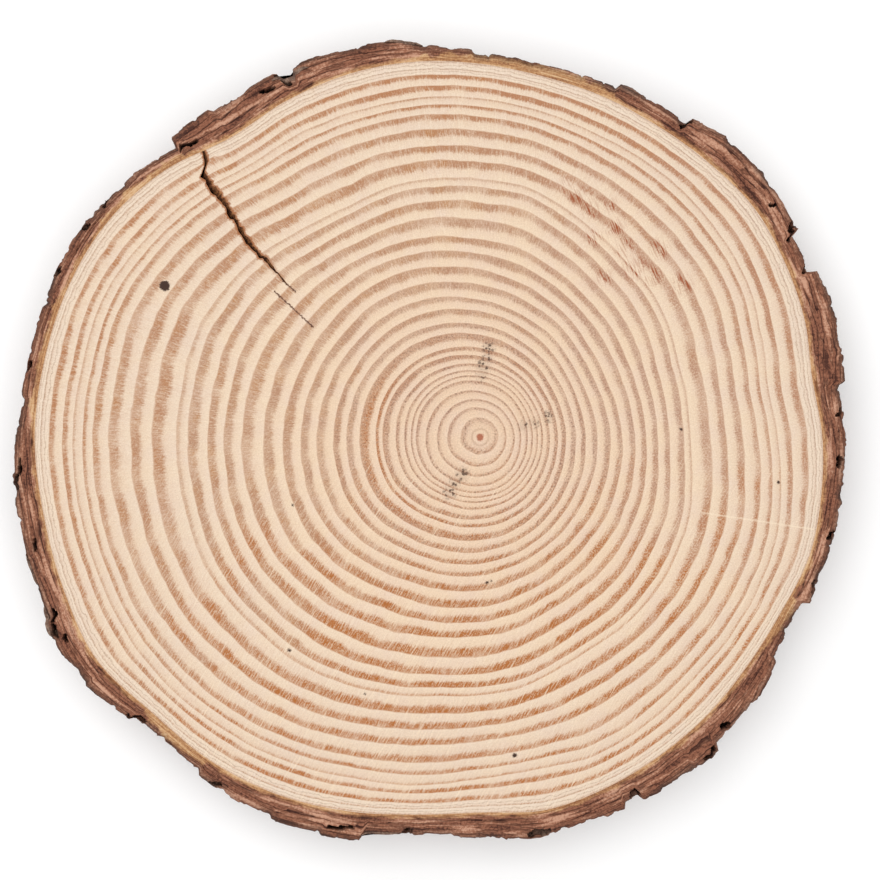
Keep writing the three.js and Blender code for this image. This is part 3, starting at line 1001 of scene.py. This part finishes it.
def pine_bark(settings):
    """Pine bark, sawn on its flat faces and weathered outside: matt cork in thin layers.

    A sawn face shows red-brown layers parted by dark wavy lines, and a tan inner bark beside the wood, with
    its gaps painted near black as shade. The outside is a grey-brown crust on the plates, redder where layers
    have come off, with painted shade in the fissures and a painted shadow under the edges of layers.
    """
    material, add, shader = new_material("pine_bark")
    in_mm, flat, outward = about_pith(add)
    depth, layer, cut, opened, gone, rim = (
        add("Attribute", attribute_name=name).outputs["Fac"] for name in BARK_ATTRIBUTES)

    # Layers of the sawn face: long round the trunk, thin across it, parted by thin dark lines.
    around = add("VectorMath SCALE", outward, TRUNK_RADIUS / 8)
    layers = add("Math MULTIPLY", layer, MM / settings.layer)
    layer_place = add("VectorMath ADD", around, add("CombineXYZ", 0, 0, layers))
    lamina = add("TexNoise", layer_place, 0.55, 3.0, 0.5)
    wave = add("TexNoise", layer_place, 0.35, 4.0, 0.5)
    phase = add("Math MULTIPLY_ADD", wave, 3.0, add("Math MULTIPLY", layers, 0.6))
    parting = add("MapRange", add("Math FRACT", phase), 0.27, 0.05, interpolation_type="SMOOTHSTEP")
    parting = add("Math MULTIPLY", parting, add("MapRange", lamina, 0.68, 0.50, 0, 0.95))
    ridge = add("Math ABSOLUTE", add("Math ADD", lamina, -0.5))
    lines = add("Math MAXIMUM", parting, add("MapRange", ridge, 0.03, 0.0, 0, 0.7))
    crumbs = add("TexNoise", flat, 1.3, 4.0, 0.75)
    body = add("ValToRGB", add("Mix", 0.42, lamina, crumbs), stops=[
        (0.39, linear("#4A2A20")), (0.46, settings.cut_cork[:]), (0.53, linear("#99674F")),
        (0.60, linear("#C2947B"))])
    cork = add("Mix", lines, body, linear("#331811"), data_type="RGBA")
    tan = add("ValToRGB", add("Mix", 0.5, lamina, crumbs), stops=[
        (0.38, linear("#8A5C40")), (0.49, settings.inner_bark[:]), (0.60, linear("#D2AE86"))])
    tan = add("Mix", add("Math MULTIPLY", lines, 0.8), tan, linear("#7A4A2C"), data_type="RGBA")

    # The tan part is about inner_width wide and wavers; the rim is crusty in places. Gaps are painted near
    # black, which is painted shade inside them.
    inner_width = settings.inner_width / MM
    waver = add("Math MULTIPLY_ADD", add("TexNoise", flat, 0.25, 4.0), -3.4, 1.7)
    thin = add("MapRange", add("Math ADD", depth, rim), 5.4, 3.6, 0, 2.2)
    shifted = add("Math SUBTRACT", add("Math ADD", depth, waver), thin)
    cork_part = add("MapRange", shifted, inner_width - 0.5, inner_width + 0.5)
    crusty = add("TexNoise", flat, 5.0, 0.07, 2.0, noise_dimensions="4D")
    crusty = add("MapRange", crusty, 0.35, 0.65, 0.25, 0.95)
    near_rim = add("MapRange", add("Math MULTIPLY_ADD", crumbs, 2.0, rim), 3.2, 1.3)
    sawn = tan
    for mask, paint in (
            (cork_part, cork), (add("Math MULTIPLY", near_rim, crusty), linear("#46322A")),
            # Painted shade: the gaps near black.
            (add("Math MULTIPLY", opened, 0.92), linear("#120A08"))):
        sawn = add("Mix", mask, sawn, paint, data_type="RGBA")

    # The weathered outside, with painted shade in the fissures and a painted shadow under the edges of
    # layers.
    stretched = add("VectorMath MULTIPLY", in_mm, (1, 1, 0.35))
    blotches = add("TexNoise", stretched, 0.35, 4.0, 0.6)
    fine = add("TexNoise", stretched, 1.8, 5.0, 0.7)
    crust = add("ValToRGB", add("Mix", 0.45, blotches, fine), stops=[
        (0.34, linear("#43312A")), (0.45, settings.crust[:]), (0.54, linear("#876C5C")),
        (0.66, linear("#AA9484"))])
    warp = add("VectorMath SCALE", blotches.outputs["Color"], 6.0)
    cracks = add("TexVoronoi", add("VectorMath ADD", stretched, warp), 0.32, feature="DISTANCE_TO_EDGE")
    outside = crust
    for mask, paint in (
            (add("MapRange", add("Mix", 0.5, gone, blotches), 0.30, 0.75, 0, 0.8), linear("#84503B")),
            (add("MapRange", cracks, 0.09, 0.0, 0, 0.55), linear("#33211A")),
            # Painted shade in the fissures and a painted shadow under the edges of layers.
            (add("MapRange", opened, 0.15, 0.9, 0, 0.88), linear("#2A1A14"))):
        outside = add("Mix", mask, outside, paint, data_type="RGBA")
    height = add("Mix", cut, fine, lamina)
    fill(shader, named={
        "Base Color": add("Mix", cut, outside, sawn, data_type="RGBA"),
        "Roughness": 0.88,
        "Specular IOR Level": 0.25,
        "Normal": add("Bump", named={"Height": height, "Strength": 0.7, "Distance": 0.0005}),
    })
    return material


class SLICE_OT_sawn_wood(bpy.types.Operator):
    """Makes the sawn wood with its rings and its drying crack"""

    bl_idname = "slice.sawn_wood"
    bl_label = "Sawn wood"

    def execute(self, context):
        settings = context.scene.slice_wood
        piece = make_wood_mesh()
        piece.data.materials.append(sawn_pine(settings))
        piece.data.materials.append(torn_pine())
        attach(piece, "root")
        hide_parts("wood_slice")
        return {"FINISHED"}


class SLICE_OT_bark(bpy.types.Operator):
    """Makes the ring of bark round the wood"""

    bl_idname = "slice.bark"
    bl_label = "Bark"

    def execute(self, context):
        settings = context.scene.slice_bark
        piece = make_bark_mesh(settings)
        piece.data.materials.append(pine_bark(settings))
        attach(piece, "root")
        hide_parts("wood_slice")
        return {"FINISHED"}


class SLICE_OT_bark_scales(bpy.types.Operator):
    """Makes the loose scales that stand off the bark"""

    bl_idname = "slice.bark_scales"
    bl_label = "Bark scales"

    def execute(self, context):
        settings = context.scene.slice_bark
        piece = make_scales_mesh(settings)
        piece.data.materials.append(bpy.data.materials["pine_bark"])
        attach(piece, "root")
        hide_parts("wood_slice")
        return {"FINISHED"}


# The floor's half width, the lights' sizes and places, and how far aside of the middle the camera stands, in
# metres. The sensor's width is in millimetres.
FLOOR_REACH = 4.0
KEY_SIZE = 0.9
KEY_PLACE = (-0.55, 0.65, 1.1)
TOP_SIZE = 1.6
TOP_PLACE = (0.0, 0.0, 1.5)
CAMERA_ASIDE = (0.0030, 0.0007)
SENSOR_WIDTH = 36.0


class SLICE_OT_stage(bpy.types.Operator):
    """Makes the floor, the soft light and the camera"""

    bl_idname = "slice.stage"
    bl_label = "Stage"

    def execute(self, context):
        settings = context.scene.slice_stage
        scene = context.scene
        mesh = bpy.data.meshes.new("floor")
        corners = [(x * FLOOR_REACH, y * FLOOR_REACH, 0.0) for x, y in ((-1, -1), (1, -1), (1, 1), (-1, 1))]
        mesh.from_pydata(corners, [], [(0, 1, 2, 3)])
        floor = bpy.data.objects.new("floor", mesh)
        scene.collection.objects.link(floor)
        material, _, shader = new_material("floor_paper")
        fill(shader, named={"Base Color": settings.floor_colour[:], "Roughness": 0.9})
        mesh.materials.append(material)

        world = bpy.data.worlds.new("studio")
        world.use_nodes = True
        background = world.node_tree.nodes["Background"]
        background.inputs["Color"].default_value = (1.0, 1.0, 1.0, 1.0)
        background.inputs["Strength"].default_value = settings.dome_strength
        scene.world = world

        lights = (
            ("key_light", settings.key_power, KEY_SIZE, KEY_PLACE),
            ("top_light", settings.top_power, TOP_SIZE, TOP_PLACE),
        )
        for name, power, size, place in lights:
            light = bpy.data.lights.new(name, "AREA")
            light.energy = power
            light.size = size
            lamp = bpy.data.objects.new(name, light)
            lamp.location = place
            lamp.rotation_euler = (-lamp.location).to_track_quat("-Z", "Y").to_euler()
            scene.collection.objects.link(lamp)

        camera = bpy.data.cameras.new("camera")
        camera.lens = settings.lens
        camera.sensor_width = SENSOR_WIDTH
        eye = bpy.data.objects.new("camera", camera)
        distance = settings.view_width * settings.lens / camera.sensor_width
        eye.location = (*CAMERA_ASIDE, SLICE_HIGH[2] + distance)
        scene.collection.objects.link(eye)
        scene.camera = eye
        scene.view_settings.view_transform = "Standard"
        return {"FINISHED"}


class SLICE_PT_panel(bpy.types.Panel):
    """Lists the slice's pieces and their settings"""

    bl_idname = "SLICE_PT_panel"
    bl_label = "Wood slice"
    bl_space_type = "VIEW_3D"
    bl_region_type = "UI"
    bl_category = "Wood slice"

    def draw(self, context):
        for operators, group in PANEL_ROWS:
            box = self.layout.box()
            for operator in operators:
                box.operator(operator.bl_idname)
            settings = getattr(context.scene, group)
            for name in settings.__annotations__:
                box.prop(settings, name)


PANEL_ROWS = [
    ((SLICE_OT_sawn_wood,), "slice_wood"),
    ((SLICE_OT_bark, SLICE_OT_bark_scales), "slice_bark"),
    ((SLICE_OT_stage,), "slice_stage"),
]
GROUPS = {"slice_wood": WoodSettings, "slice_bark": BarkSettings, "slice_stage": StageSettings}
CLASSES = (
    *GROUPS.values(), SLICE_OT_sawn_wood, SLICE_OT_bark, SLICE_OT_bark_scales, SLICE_OT_stage, SLICE_PT_panel,
)


def register():
    """Registers the classes and gives each scene its settings."""
    for entry in CLASSES:
        bpy.utils.register_class(entry)
    for name, group in GROUPS.items():
        setattr(bpy.types.Scene, name, PointerProperty(type=group))


def unregister():
    """Undoes what register does."""
    for name in GROUPS:
        delattr(bpy.types.Scene, name)
    for entry in reversed(CLASSES):
        bpy.utils.unregister_class(entry)


def main():
    """Builds the slice and the stage."""
    register()
    bpy.ops.slice.stage()
    bpy.ops.slice.sawn_wood()
    bpy.ops.slice.bark()
    bpy.ops.slice.bark_scales()
    bpy.context.view_layer.update()


if __name__ == "__main__":
    main()
